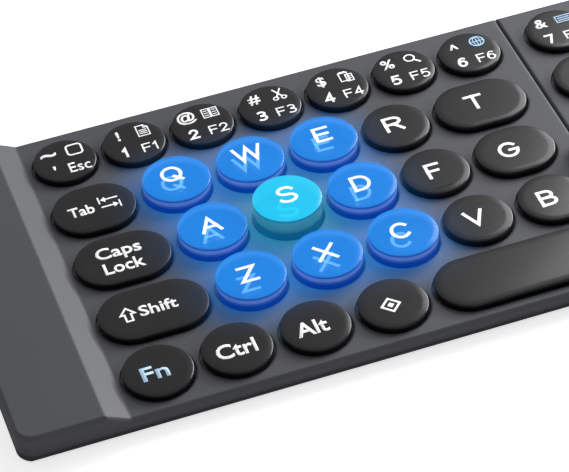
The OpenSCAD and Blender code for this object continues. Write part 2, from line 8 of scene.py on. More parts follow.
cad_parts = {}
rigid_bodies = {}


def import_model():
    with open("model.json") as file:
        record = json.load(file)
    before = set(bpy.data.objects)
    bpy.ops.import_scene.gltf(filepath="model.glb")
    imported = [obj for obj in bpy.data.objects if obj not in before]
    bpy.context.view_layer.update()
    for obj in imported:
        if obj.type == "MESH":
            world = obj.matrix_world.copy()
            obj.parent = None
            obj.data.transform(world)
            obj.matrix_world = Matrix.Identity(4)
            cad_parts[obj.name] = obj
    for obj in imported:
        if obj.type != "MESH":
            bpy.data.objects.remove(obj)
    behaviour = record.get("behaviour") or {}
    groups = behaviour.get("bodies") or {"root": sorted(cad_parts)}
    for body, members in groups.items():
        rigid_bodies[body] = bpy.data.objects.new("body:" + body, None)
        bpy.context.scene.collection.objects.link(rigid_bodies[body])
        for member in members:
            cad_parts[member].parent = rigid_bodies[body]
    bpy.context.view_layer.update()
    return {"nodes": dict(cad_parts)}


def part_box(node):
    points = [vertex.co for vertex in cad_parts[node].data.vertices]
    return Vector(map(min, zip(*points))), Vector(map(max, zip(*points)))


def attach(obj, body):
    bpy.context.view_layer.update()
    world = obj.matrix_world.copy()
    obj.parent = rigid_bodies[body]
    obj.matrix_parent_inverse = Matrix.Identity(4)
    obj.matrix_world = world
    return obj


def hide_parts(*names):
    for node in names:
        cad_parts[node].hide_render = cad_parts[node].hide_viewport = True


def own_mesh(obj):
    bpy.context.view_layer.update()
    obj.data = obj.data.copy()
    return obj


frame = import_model()
nodes = frame["nodes"]
mm = 0.001
print("frame loaded:", len(nodes), "nodes")


# Camera and light
cameraView = {
    "place": (-0.192162, -0.445229, 0.415301),
    "ahead": (0.199529, 0.715468, -0.669548),
    "side": (0.944226, -0.323054, -0.063825),
    "lens": 180.917,
}
studio = {
    "sidePlace": (0.55, 0.25, 0.24),
    "sideSize": (0.55, 0.15),
    "sidePower": 3.3,
    "backPlace": (0.70, 0.66, 0.72),
    "backSize": (0.75, 0.55),
    "backPower": 5.0,
    "worldGrey": 0.21,
    "worldGloss": 0.12,
    "floorLift": 0.70,
    "floorDrop": 0.02 * mm,
}


def aimed(place, target=(0, 0, 0)):
    away = (Vector(target) - Vector(place)).to_track_quat("-Z", "Y")
    return Matrix.Translation(place) @ away.to_matrix().to_4x4()


def addCamera():
    data = bpy.data.cameras.new("photoCamera")
    data.lens = cameraView["lens"]
    data.sensor_width = 36
    data.clip_start = 0.01
    camera = bpy.data.objects.new("photoCamera", data)
    bpy.context.scene.collection.objects.link(camera)
    side = Vector(cameraView["side"]).normalized()
    ahead = Vector(cameraView["ahead"]).normalized()
    up = side.cross(ahead).normalized()
    turn = Matrix((side, up, -ahead)).transposed().to_4x4()
    camera.matrix_world = Matrix.Translation(cameraView["place"]) @ turn
    bpy.context.scene.camera = camera


def addLamp(name, place, size, power):
    data = bpy.data.lights.new(name, "AREA")
    data.shape = "RECTANGLE"
    data.size, data.size_y = size
    data.energy = power
    lamp = bpy.data.objects.new(name, data)
    bpy.context.scene.collection.objects.link(lamp)
    lamp.matrix_world = aimed(place)


addCamera()
addLamp("sideLamp", studio["sidePlace"], studio["sideSize"], studio["sidePower"])
addLamp("backLamp", studio["backPlace"], studio["backSize"], studio["backPower"])
bpy.context.scene.view_settings.view_transform = "Standard"
print("camera and lamps placed")


# Shader maths
class Wire:
    # a node's output, on which sums can be written
    def __init__(self, graph, socket):
        self.graph = graph
        self.socket = socket

    def sum(self, kind, first, second):
        return self.graph.node("ShaderNodeMath", {"operation": kind}, {0: first, 1: second})

    def __add__(self, other):
        return self.sum("ADD", self, other)

    def __radd__(self, other):
        return self.sum("ADD", other, self)

    def __sub__(self, other):
        return self.sum("SUBTRACT", self, other)

    def __rsub__(self, other):
        return self.sum("SUBTRACT", other, self)

    def __mul__(self, other):
        return self.sum("MULTIPLY", self, other)

    def __rmul__(self, other):
        return self.sum("MULTIPLY", other, self)

    def __truediv__(self, other):
        return self.sum("DIVIDE", self, other)

    def __pow__(self, other):
        return self.sum("POWER", self, other)

    def atLeast(self, other):
        return self.sum("MAXIMUM", self, other)

    def atMost(self, other):
        return self.sum("MINIMUM", self, other)


class Graph:
    # a node tree, with one method that adds any node to it
    def __init__(self, tree):
        self.tree = tree
        tree.nodes.clear()

    def node(self, kind, settings=None, values=None, out=0):
        made = self.tree.nodes.new(kind)
        for key, setting in (settings or {}).items():
            if key == "stops":
                ramp = made.color_ramp
                ramp.elements[0].color = (*setting[0][1], 1)
                ramp.elements[1].color = (*setting[-1][1], 1)
                ramp.elements[0].position = setting[0][0]
                ramp.elements[1].position = setting[-1][0]
                for place, colour in setting[1:-1]:
                    ramp.elements.new(place).color = (*colour, 1)
            else:
                setattr(made, key, setting)
        for key, value in (values or {}).items():
            socket = made.inputs[key]
            if isinstance(value, Wire):
                self.tree.links.new(value.socket, socket)
            elif isinstance(value, tuple) and len(value) == 3 and socket.type == "RGBA":
                socket.default_value = (*value, 1)
            else:
                socket.default_value = value
        return Wire(self, made.outputs[out]) if made.outputs else None

    def mix(self, factor, first, second, blend="MIX"):
        settings = {"data_type": "RGBA", "blend_type": blend}
        return self.node("ShaderNodeMix", settings, {0: factor, 6: first, 7: second}, out=2)


class Finish(Graph):
    # a material, and the nodes that most of them use
    def __init__(self, name):
        self.material = bpy.data.materials.new(name)
        self.material.use_nodes = True
        super().__init__(self.material.node_tree)

    def place(self):
        return self.node("ShaderNodeTexCoord", out="Object")

    def noise(self, scale, detail=2.0, where=None, roughness=0.5):
        values = {"Vector": where or self.place(), "Scale": scale, "Detail": detail, "Roughness": roughness}
        return self.node("ShaderNodeTexNoise", None, values)

    def bump(self, height, strength, distance, normal=None):
        values = {"Height": height, "Strength": strength, "Distance": distance}
        if normal:
            values["Normal"] = normal
        return self.node("ShaderNodeBump", None, values)

    def soft(self, radius):
        return self.node("ShaderNodeBevel", {"samples": 6}, {"Radius": radius})

    def surface(self, values):
        shader = self.node("ShaderNodeBsdfPrincipled", None, values)
        self.node("ShaderNodeOutputMaterial", None, {"Surface": shader})
        return self.material


def shade(colour, factor):
    return tuple(min(1, part * factor) for part in colour)


# The lit keys, which glow on what is beside them
litKeys = ["key_q", "key_w", "key_e", "key_a", "key_d", "key_z", "key_x", "key_c"]
tallKey = "key_s"
glow = {
    "reach": 18.5 * mm,
    "blue": (0.022, 0.32, 1.0),
    "cyan": (0.01, 0.50, 0.62),
    "cyanShare": 0.95,
    "fall": 1.6,
}
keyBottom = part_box("key_esc")[0].z
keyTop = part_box("key_esc")[1].z


def middle(node):
    low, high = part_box(node)
    return (low + high) / 2


def glowOn(finish, strength):
    # light of the lit keys on a dark surface beside them, as a colour that adds to it
    where = finish.place()
    flat = finish.node("ShaderNodeVectorMath", {"operation": "MULTIPLY"}, {0: where, 1: (1, 1, 0)})

    def near(key, reach):
        spot = middle(key)
        away = finish.node("ShaderNodeVectorMath", {"operation": "DISTANCE"},
                           {0: flat, 1: (spot.x, spot.y, 0)}, out="Value")
        return (1 - away / reach).atLeast(0) ** glow["fall"]

    blue = near(litKeys[0], glow["reach"])
    for key in litKeys[1:]:
        blue = blue + near(key, glow["reach"])
    cyan = near(tallKey, glow["reach"] * glow["cyanShare"])
    blueLight = finish.mix((blue * strength).atMost(1), (0, 0, 0), glow["blue"])
    cyanLight = finish.mix((cyan * strength).atMost(1), (0, 0, 0), glow["cyan"])
    return finish.mix(1.0, blueLight, cyanLight, "ADD")


# Finishes
def casePlastic(name, colour, edge, glows):
    # painted matte plastic with a fine grain and slightly rubbed edges
    f = Finish(name)
    grain = f.noise(5200, 2)
    cloud = f.noise(28, 3)
    speckle = f.noise(1900, 2)
    tone = f.mix(cloud * 0.5 + speckle * 0.25, shade(colour, 0.88), shade(colour, 1.14))
    values = {
        "Base Color": tone,
        "Roughness": cloud * 0.10 + grain * 0.08 + 0.36,
        "Normal": f.bump(grain, 0.22, 0.00004, f.soft(edge)),
        "Specular IOR Level": 0.5,
    }
    if glows:
        values["Emission Color"] = glowOn(f, 0.62)
        values["Emission Strength"] = 1.0
    return f.surface(values)


def keyPlastic(name, colour, glows=True):
    # satin plastic of the key caps, with painted shade that darkens the faces which point less upwards, and
    # the painted light of the lit keys weighted the same way
    f = Finish(name)
    grain = f.noise(4200, 2)
    cloud = f.noise(90, 2)
    normal = f.node("ShaderNodeNewGeometry", out="Normal")
    # painted shade: the colour darkens as a face turns away from pointing up
    paintedTiltLight = f.node("ShaderNodeSeparateXYZ", None, {0: normal}, out="Z").atLeast(0.12) ** 0.6
    tone = f.mix(cloud, shade(colour, 0.85), shade(colour, 1.2))
    values = {
        "Base Color": f.mix(paintedTiltLight, (0, 0, 0), tone),
        "Roughness": cloud * 0.06 + grain * 0.06 + 0.25,
        "Normal": f.bump(grain, 0.12, 0.00003),
        "Specular IOR Level": 0.32,
        "Coat Weight": 0.6,
        "Coat Roughness": 0.13,
    }
    if glows:
        values["Emission Color"] = f.mix(paintedTiltLight, (0, 0, 0), glowOn(f, 0.15))
        values["Emission Strength"] = 1.0
    return f.surface(values)


def litPlastic(name, body, light, alpha, strength=1.0):
    # clear tinted plastic lit from inside
    f = Finish(name)
    cloud = f.noise(160, 2)
    values = {
        "Base Color": f.mix(cloud, shade(body, 0.9), shade(body, 1.1)),
        "Emission Color": f.mix(cloud, shade(light, 0.94), shade(light, 1.06)),
        "Emission Strength": strength,
        "Roughness": cloud * 0.06 + 0.16,
        "Alpha": alpha,
        "Specular IOR Level": 0.4,
        "Coat Weight": 0.5,
        "Coat Roughness": 0.08,
    }
    return f.surface(values)


def clearWall(name, key, stops, alpha):
    # side of a clear cap, glowing in bands from its foot to its rim, where the pale band on the walls of the
    # lit caps is a painted highlight
    f = Finish(name)
    low, high = keyTop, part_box(key)[1].z
    height = f.node("ShaderNodeSeparateXYZ", None, {0: f.place()}, out="Z")
    share = (height - low) / (high - low)
    tone = f.node("ShaderNodeValToRGB", {"stops": stops}, {"Fac": share})
    cloud = f.noise(160, 2)
    return f.surface({
        "Base Color": f.mix(cloud * 0.2 + 0.4, (0, 0, 0), tone),
        "Emission Color": f.mix(cloud * 0.2 + 0.45, (0, 0, 0), tone),
        "Emission Strength": 1.0,
        "Roughness": cloud * 0.06 + 0.14,
        "Alpha": alpha,
        "Specular IOR Level": 0.4,
        "Coat Weight": 0.5,
        "Coat Roughness": 0.08,
    })


def ink(name, colour, light=0.0):
    # printed legend, a little uneven in tone, with a painted glow of the given strength that brightens it
    # beyond what the lamps give
    f = Finish(name)
    cloud = f.noise(700, 2)
    return f.surface({
        "Base Color": f.mix(cloud, shade(colour, 0.93), colour),
        "Roughness": cloud * 0.1 + 0.45,
        "Emission Color": colour,
        "Emission Strength": light,
    })


def metal(name, colour, rough, scratch=(1, 1, 1), edge=0.0001):
    f = Finish(name)
    stretched = f.node("ShaderNodeVectorMath", {"operation": "MULTIPLY"}, {0: f.place(), 1: scratch})
    lines = f.noise(900, 4, stretched)
    cloud = f.noise(120, 2)
    return f.surface({
        "Base Color": f.mix(lines, shade(colour, 0.8), colour),
        "Metallic": 1.0,
        "Roughness": lines * 0.16 + cloud * 0.1 + rough,
        "Normal": f.bump(lines, 0.15, 0.00003, f.soft(edge)),
    })


def rubber(name, colour):
    f = Finish(name)
    grain = f.noise(2600, 3)
    return f.surface({
        "Base Color": f.mix(grain, shade(colour, 0.8), shade(colour, 1.2)),
        "Roughness": grain * 0.15 + 0.72,
        "Normal": f.bump(grain, 0.35, 0.00005, f.soft(0.0002)),
    })


def printedBoard(name):
    # solder mask with copper tracks in a fine grid
    f = Finish(name)
    tracks = f.node("ShaderNodeTexBrick", {"offset": 0.5},
                    {"Vector": f.place(), "Scale": 420, "Mortar Size": 0.06, "Color1": (0.004, 0.05, 0.02),
                     "Color2": (0.006, 0.075, 0.03), "Mortar": (0.02, 0.14, 0.06)})
    cloud = f.noise(300, 3)
    return f.surface({
        "Base Color": f.mix(cloud * 0.3, tracks, (0.01, 0.03, 0.012)),
        "Roughness": cloud * 0.15 + 0.3,
        "Normal": f.soft(0.00008),
    })


def contactFoil(name):
    # milky film with printed silver lines
    f = Finish(name)
    waves = f.node("ShaderNodeTexWave", {"wave_type": "BANDS", "bands_direction": "Y"},
                   {"Vector": f.place(), "Scale": 120, "Distortion": 2.0, "Detail": 1.0})
    line = f.node("ShaderNodeValToRGB", {"stops": [(0.78, (0, 0, 0)), (0.84, (1, 1, 1))]}, {"Fac": waves})
    return f.surface({
        "Base Color": f.mix(line, (0.42, 0.46, 0.40), (0.62, 0.63, 0.66)),
        "Roughness": f.noise(400, 2) * 0.1 + 0.28,
        "Normal": f.soft(0.00005),
    })


def domeSilicone(name):
    f = Finish(name)
    cloud = f.noise(260, 3)
    return f.surface({
        "Base Color": f.mix(cloud, (0.50, 0.52, 0.54), (0.66, 0.68, 0.70)),
        "Roughness": cloud * 0.12 + 0.5,
        "Normal": f.bump(cloud, 0.2, 0.0001, f.soft(0.0001)),
    })


def batteryFoil(name):
    # crinkled laminated foil
    f = Finish(name)
    crease = f.noise(420, 5, roughness=0.65)
    return f.surface({
        "Base Color": f.mix(crease, (0.45, 0.46, 0.48), (0.66, 0.67, 0.69)),
        "Metallic": 0.9,
        "Roughness": crease * 0.2 + 0.24,
        "Normal": f.bump(crease, 0.5, 0.0002, f.soft(0.0003)),
    })


def lightPipe(name):
    f = Finish(name)
    cloud = f.noise(900, 2)
    return f.surface({
        "Base Color": f.mix(cloud, (0.55, 0.60, 0.62), (0.75, 0.80, 0.82)),
        "Roughness": cloud * 0.1 + 0.2,
        "Normal": f.soft(0.0001),
    })


# bands up the clear walls: on the lit caps the pale band from 0.25 to 0.62 is a painted highlight
wallBands = {
    "lit": [(0.0, (0.03, 0.10, 0.50)), (0.25, (0.13, 0.26, 0.78)), (0.62, (0.14, 0.28, 0.80)),
            (0.70, (0.01, 0.08, 0.55)), (0.82, (0.02, 0.14, 0.66)), (1.0, (0.04, 0.30, 0.90))],
    "tall": [(0.0, (0.01, 0.12, 0.24)), (0.3, (0.05, 0.32, 0.42)), (0.8, (0.09, 0.44, 0.54)),
             (0.87, (0.01, 0.30, 0.50)), (1.0, (0.03, 0.55, 0.85))],
}
finishes = {
    "deck": casePlastic("deckPlastic", (0.132, 0.136, 0.153), 0.0008, True),
    "shell": casePlastic("shellPlastic", (0.060, 0.062, 0.070), 0.0003, False),
    "key": keyPlastic("keyBlack", (0.016, 0.016, 0.0175)),
    "litBase": litPlastic("litKeyBase", (0.001, 0.016, 0.09), (0.0, 0.030, 0.27), 1.0),
    "litSide": clearWall("litKeyWall", "key_q", wallBands["lit"], 0.85),
    "litTop": litPlastic("litKeyFace", (0.004, 0.15, 0.50), (0.006, 0.25, 0.74), 0.66),
    "tallBase": litPlastic("tallKeyBase", (0.002, 0.05, 0.08), (0.001, 0.08, 0.20), 1.0),
    "tallSide": clearWall("tallKeyWall", "key_s", wallBands["tall"], 0.62),
    "tallTop": litPlastic("tallKeyFace", (0.004, 0.34, 0.50), (0.006, 0.56, 0.88), 0.74),
    "white": ink("whiteInk", (0.86, 0.87, 0.88), 0.68),
    "litWhite": ink("litInk", (0.90, 0.94, 0.98), 0.6),
    "ghost": ink("innerInk", (0.35, 0.68, 1.0), 0.7),
    "tallGhost": ink("tallInnerInk", (0.02, 0.50, 0.62), 0.6),
    "paleBlue": ink("paleBlueInk", (0.50, 0.72, 0.95), 0.45),
    "homeBar": keyPlastic("homeBar", (0.006, 0.006, 0.007), False),
    "foot": rubber("footRubber", (0.025, 0.025, 0.026)),
    "screw": metal("screwSteel", (0.26, 0.265, 0.275), 0.34),
    "plate": metal("plateSteel", (0.60, 0.61, 0.63), 0.26, (1, 12, 1)),
    "leaf": metal("hingeMetal", (0.34, 0.35, 0.37), 0.28, (1, 14, 1), 0.00018),
    "pin": metal("pinSteel", (0.62, 0.62, 0.64), 0.2, (8, 1, 8)),
    "socket": metal("socketSteel", (0.55, 0.56, 0.58), 0.24, (1, 6, 1)),
    "magnet": metal("magnetPlate", (0.58, 0.58, 0.57), 0.2),
    "switch": rubber("switchPlastic", (0.02, 0.02, 0.022)),
    "board": printedBoard("circuitBoard"),
    "foil": contactFoil("contactFoil"),
    "dome": domeSilicone("domeSilicone"),
    "battery": batteryFoil("batteryFoil"),
    "pipe": lightPipe("lightPipe"),
}
nodeFinish = {
    "deck": ["left_deck", "right_deck"],
    "shell": ["left_bottom_shell", "right_bottom_shell"],
    "foot": ["left_feet", "right_feet", "right_rests"],
    "screw": ["left_screws", "right_screws"],
    "plate": ["left_support_plate", "right_support_plate"],
    "foil": ["left_contact_foil", "right_contact_foil"],
    "dome": ["left_dome_sheet", "right_dome_sheet"],
    "battery": ["battery"],
    "board": ["main_board"],
    "socket": ["charging_socket"],
    "switch": ["power_switch"],
    "pipe": ["status_light"],
    "magnet": ["left_magnet", "right_magnet"],
    "leaf": ["hinge_left_leaf", "hinge_right_leaf"],
    "pin": ["hinge_pin"],
}
for finishName, members in nodeFinish.items():
    for member in members:
        if member in nodes:
            for materialSlot in nodes[member].material_slots:
                materialSlot.material = finishes[finishName]
print("finishes made:", len(finishes))


# Meshes
def meshFrom(work, name):
    mesh = bpy.data.meshes.new(name)
    work.to_mesh(mesh)
    work.free()
    return mesh


def merged(mesh, near=1e-6):
    # a mesh to work on, with its doubles merged
    work = bmesh.new()
    work.from_mesh(mesh)
    bmesh.ops.remove_doubles(work, verts=work.verts, dist=near)
    return work


def newPiece(name, mesh, materials=()):
    piece = bpy.data.objects.new(name, mesh)
    bpy.context.scene.collection.objects.link(piece)
    for material in materials:
        mesh.materials.append(material)
    return piece


def joined(name, meshes):
    # one object from several meshes, which keep their materials
    materials = []
    work = bmesh.new()
    for mesh in meshes:
        start = len(work.faces)
        work.from_mesh(mesh)
        work.faces.ensure_lookup_table()
        places = []
        for material in mesh.materials:
            if material not in materials:
                materials.append(material)
            places.append(materials.index(material))
        for face in work.faces[start:]:
            face.material_index = places[face.material_index] if places else 0
        bpy.data.meshes.remove(mesh)
    return newPiece(name, meshFrom(work, name), materials)


# Key caps
capSizes = {
    "edge": 0.32 * mm,
    "edgeSteps": 4,
    "crown": 0.05 * mm,
    "crownRings": (0.8, 0.5, 0.2),
    "corners": 72,
    "lip": 0.12 * mm,
    "wall": 0.8 * mm,
    "roof": 0.8 * mm,
    "boss": 3.2 * mm,
    "play": 0.05 * mm,
}


class Tree(Graph):
    # a Geometry Nodes tree with named inputs
    def __init__(self, name):
        super().__init__(bpy.data.node_groups.new(name, "GeometryNodeTree"))
        self.tree.interface.new_socket("Geometry", in_out="OUTPUT", socket_type="NodeSocketGeometry")
        self.inputs = self.tree.nodes.new("NodeGroupInput")
        self.ids = {}

    def input(self, name, value=None, kind="NodeSocketFloat"):
        socket = self.tree.interface.new_socket(name, in_out="INPUT", socket_type=kind)
        if value is not None:
            socket.default_value = value
        self.ids[name] = socket.identifier
        return Wire(self, self.inputs.outputs[name])

    def vector(self, x, y, z):
        return self.node("ShaderNodeCombineXYZ", None, {0: x, 1: y, 2: z})

    def end(self, geometry, material):
        real = self.node("GeometryNodeRealizeInstances", None, {0: geometry})
        painted = self.node("GeometryNodeSetMaterial", None, {"Geometry": real, "Material": material})
        self.node("NodeGroupOutput", None, {0: painted})

    def run(self, name, values, start=None):
        # the tree's result as a plain mesh
        holder = bpy.data.objects.new(name, start or bpy.data.meshes.new(name))
        bpy.context.scene.collection.objects.link(holder)
        modifier = holder.modifiers.new("shape", "NODES")
        modifier.node_group = self.tree
        for key, value in values.items():
            modifier[self.ids[key]] = value
        bpy.context.view_layer.update()
        graph = bpy.context.evaluated_depsgraph_get()
        mesh = bpy.data.meshes.new_from_object(holder.evaluated_get(graph))
        holder.modifiers.clear()
        bpy.data.objects.remove(holder)
        used = [material for material in mesh.materials if material]
        places = [used.index(material) if material else 0 for material in mesh.materials]
        indices = [places[face.material_index] for face in mesh.polygons]
        mesh.materials.clear()
        for material in used:
            mesh.materials.append(material)
        mesh.polygons.foreach_set("material_index", indices)
        return mesh

    def disc(self, corners):
        # a flat disc of radius 1, and the direction of each of its corners, kept for the rings
        values = {"Vertices": corners, "Radius": 1.0}
        made = self.node("GeometryNodeMeshCircle", {"fill_type": "NGON"}, values)
        held = self.tree.nodes.new("GeometryNodeCaptureAttribute")
        held.capture_items.new("VECTOR", "outward")
        self.tree.links.new(made.socket, held.inputs["Geometry"])
        self.tree.links.new(self.node("GeometryNodeInputPosition").socket, held.inputs[1])
        outward = Wire(self, held.outputs[1])
        outX = self.node("ShaderNodeSeparateXYZ", None, {0: outward}, out="X")
        outY = self.node("ShaderNodeSeparateXYZ", None, {0: outward}, out="Y")
        return Wire(self, held.outputs["Geometry"]), outX, outY

    def stack(self, geometry, rings):
        # moves the disc to the first ring, and grows it through the others up to a closed top
        geometry = self.node("GeometryNodeSetPosition", None, {"Geometry": geometry, "Position": rings[0]})
        grow = {"Offset Scale": 0.0, "Individual": False}
        for place in rings[1:]:
            grow["Mesh"] = geometry
            grown = self.node("GeometryNodeExtrudeMesh", {"mode": "FACES"}, grow, "Mesh")
            grow["Selection"] = Wire(self, grown.socket.node.outputs["Top"])
            values = {"Geometry": grown, "Selection": grow["Selection"], "Position": place}
            geometry = self.node("GeometryNodeSetPosition", None, values)
        return self.node("GeometryNodeSetShadeSmooth", None, {"Geometry": geometry})


def capTree():
    # a disc or bar with straight sides, a rounded upper edge and a slightly crowned top
    t = Tree("keyCap")
    width = t.input("Width", 15 * mm)
    depth = t.input("Depth", 15 * mm)
    bottom = t.input("Bottom", 3.5 * mm)
    top = t.input("Top", 5.7 * mm)
    edge = t.input("Edge", capSizes["edge"])
    crown = t.input("Crown", capSizes["crown"])
    wall = t.input("Wall", capSizes["wall"])
    roof = t.input("Roof", 5.0 * mm)
    middleX = t.input("Middle X", 0.0)
    middleY = t.input("Middle Y", 0.0)
    material = t.input("Material", kind="NodeSocketMaterial")
    radius = depth / 2
    stretch = (width - depth) / 2

    geometry, outX, outY = t.disc(capSizes["corners"])
    side = t.node("ShaderNodeMath", {"operation": "SIGN"}, {0: outX})

    def ring(inset, height):
        # each ring lies at its own distance inside the outline and at its own height
        r = radius - inset
        x = outX * r + side * stretch + middleX
        y = outY * r + middleY
        return t.vector(x, y, height)

    lip = capSizes["lip"]
    rings = [(wall, bottom), (lip, bottom), (0.0, bottom + lip), (0.0, top - crown - edge)]
    for step in range(1, capSizes["edgeSteps"] + 1):
        turn = math.pi / 2 * step / capSizes["edgeSteps"]
        rings.append((edge * (1 - math.cos(turn)), top - crown - edge * (1 - math.sin(turn))))
    for share in capSizes["crownRings"]:
        rings.append(((radius - edge) * (1 - share) + edge, top - crown * (share * share)))
    inner = ring(wall, roof)
    t.end(t.stack(geometry, [inner] + [ring(inset, height) for inset, height in rings]), material)
    return t


caps = capTree()


def capMesh(x, y, width, depth, bottom, top, material, edge=None, crown=None, roof=None):
    # hollow below its roof, or solid where no roof is given
    values = {"Width": width, "Depth": depth, "Bottom": bottom, "Top": top, "Middle X": x, "Middle Y": y,
              "Material": material, "Edge": edge or capSizes["edge"], "Roof": roof or bottom,
              "Crown": capSizes["crown"] if crown is None else crown}
    return tidied(caps.run("cap", values))


def tidied(mesh):
    # a closed mesh with its faces outwards
    work = merged(mesh)
    bmesh.ops.dissolve_degenerate(work, dist=1e-7, edges=work.edges)
    bmesh.ops.recalc_face_normals(work, faces=work.faces)
    work.to_mesh(mesh)
    work.free()
    return mesh


def hollowCap(x, y, width, depth, top, material):
    # a cap with the boss that presses its dome
    roof = top - capSizes["roof"]
    boss = capSizes["boss"]
    return [capMesh(x, y, width, depth, keyBottom, top, material, roof=roof),
            capMesh(x, y, boss, boss, roof - 0.25 * mm, roof + 0.3 * mm, material, 0.1 * mm, 0)]


def islands(node):
    # lowest and highest corner of each separate solid of a node
    work = merged(nodes[node].data)
    waiting = set(work.verts)
    found = []
    while waiting:
        reached = [waiting.pop()]
        solid = []
        while reached:
            vert = reached.pop()
            solid.append(vert.co.copy())
            for link in vert.link_edges:
                other = link.other_vert(vert)
                if other in waiting:
                    waiting.discard(other)
                    reached.append(other)
        xs, ys, zs = zip(*solid)
        found.append((Vector((min(xs), min(ys), min(zs))), Vector((max(xs), max(ys), max(zs)))))
    work.free()
    return sorted(found, key=lambda ends: tuple(ends[0]))


def keySpans(row):
    # lowest and highest x of each key of a row that is one node, from left to right
    return sorted((low.x, high.x) for low, high in islands(row))


leftKeys = [n for n in nodes if n.startswith("key_")]
rightRows = [n for n in nodes if n.startswith("keys_right_")]
litInset = -0.06 * mm  # the clear caps stand a hair over their bases
places = {}  # key name: x, y, width, depth and top


def blackCaps():
    for name in leftKeys:
        low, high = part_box(name)
        places[name] = ((low.x + high.x) / 2, (low.y + high.y) / 2, high.x - low.x, high.y - low.y, high.z)
        if name in litKeys or name == tallKey:
            continue
        x, y, width, depth, top = places[name]
        piece = joined(name.replace("key_", "cap_"), hollowCap(x, y, width, depth, keyTop, finishes["key"]))
        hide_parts(name)
        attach(piece, name)
    for row in rightRows:
        low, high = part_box(row)
        y, depth = (low.y + high.y) / 2, high.y - low.y
        meshes = []
        for number, (x0, x1) in enumerate(keySpans(row)):
            x0, x1 = x0 + capSizes["play"], x1 - capSizes["play"]
            places[row, number] = ((x0 + x1) / 2, y, x1 - x0, depth, high.z)
            meshes += hollowCap((x0 + x1) / 2, y, x1 - x0, depth, keyTop, finishes["key"])
        piece = joined(row.replace("keys_", "caps_"), meshes)
        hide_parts(row)
        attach(piece, row)


litSizes = {
    "baseTop": keyTop - 0.1 * mm,
    "sunk": 0.4 * mm,
    "edge": 0.22 * mm,
}


def litCaps():
    # a dark tinted base and a clear cap sunk into it, with a bright face
    for name in litKeys + [tallKey]:
        x, y, width, depth, top = places[name]
        kind = "tall" if name == tallKey else "lit"
        clear = width - 2 * litInset
        base = hollowCap(x, y, width, depth, litSizes["baseTop"], finishes[kind + "Base"])
        shell = capMesh(x, y, clear, clear, litSizes["baseTop"] - litSizes["sunk"], top,
                        finishes[kind + "Side"], litSizes["edge"], 0.02 * mm)
        shell.materials.append(finishes[kind + "Top"])
        for face in shell.polygons:
            face.material_index = 1 if face.normal.z > 0.8 else 0
        piece = joined(name.replace("key_", "lit_cap_"), base + [shell])
        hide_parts(name)
        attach(piece, name)


domeSizes = {
    "foot": 2.8 * mm,
    "top": 1.5 * mm,
    "skin": 0.4 * mm,
    "keep": 0.52,
    "sheet": 0.2 * mm,
    "print": 0.02 * mm,
    "under": 0.08 * mm,
    "near": 0.05 * mm,
    "corners": 32,
}


def domeTree():
    # a silicone cup, open below, from its foot on the sheet to its flat top
    t = Tree("dome")
    foot = t.input("Foot", domeSizes["foot"])
    top = t.input("Top", domeSizes["top"])
    skin = t.input("Skin", domeSizes["skin"])
    low = t.input("Low", 2.1 * mm)
    high = t.input("High", 4.6 * mm)
    middleX = t.input("Middle X", 0.0)
    middleY = t.input("Middle Y", 0.0)
    material = t.input("Material", kind="NodeSocketMaterial")
    geometry, outX, outY = t.disc(domeSizes["corners"])

    def ring(radius, height):
        return t.vector(outX * radius + middleX, outY * radius + middleY, height)

    rise = high - low
    rings = [ring(top - skin, high - skin), ring(foot - skin, low), ring(foot, low),
             ring(foot * 0.93, low + rise * 0.18), ring(top * 1.12, low + rise * 0.80),
             ring(top, high - skin * 0.4), ring(top * 0.85, high)]
    t.end(t.stack(geometry, rings), material)
    return t


def addDomes():
    # the flat sheet of each half, and a dome for each key
    domes = domeTree()
    z = domeSizes
    for half, owners in (("left", leftKeys), ("right", rightRows)):
        node = half + "_dome_sheet"
        low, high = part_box(node)
        sheetTop = low.z + z["sheet"]
        work = merged(nodes[node].data)
        for vert in work.verts:
            if vert.co.z > high.z - z["sheet"]:
                vert.co.z = sheetTop + z["print"]
            elif vert.co.z > sheetTop + z["near"]:
                vert.co.z = low.z + z["under"]
        sheet = newPiece(half + "_sheet", meshFrom(work, half + "_sheet"), [finishes["dome"]])
        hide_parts(node)
        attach(sheet, half + "_half")
        for owner in owners:
            meshes = []
            for key, (x, y, _, _, _) in places.items():
                if key == owner or key[0] == owner:
                    values = {"Low": sheetTop, "High": high.z, "Middle X": x, "Middle Y": y,
                              "Material": finishes["dome"]}
                    meshes.append(tidied(domes.run("dome", values)))
            dome = joined(owner.replace("keys_", "domes_").replace("key_", "dome_"), meshes)
            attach(dome, half + "_half")
            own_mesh(dome)


screwSizes = {
    "head": 1.3 * mm,
    "chamfer": 0.12 * mm,
    "high": 0.5 * mm,
    "socket": 0.62 * mm,
    "deep": 0.32 * mm,
    "shank": 0.6 * mm,
    "pitch": 0.4 * mm,
    "thread": 0.12 * mm,
    "corners": 24,
}


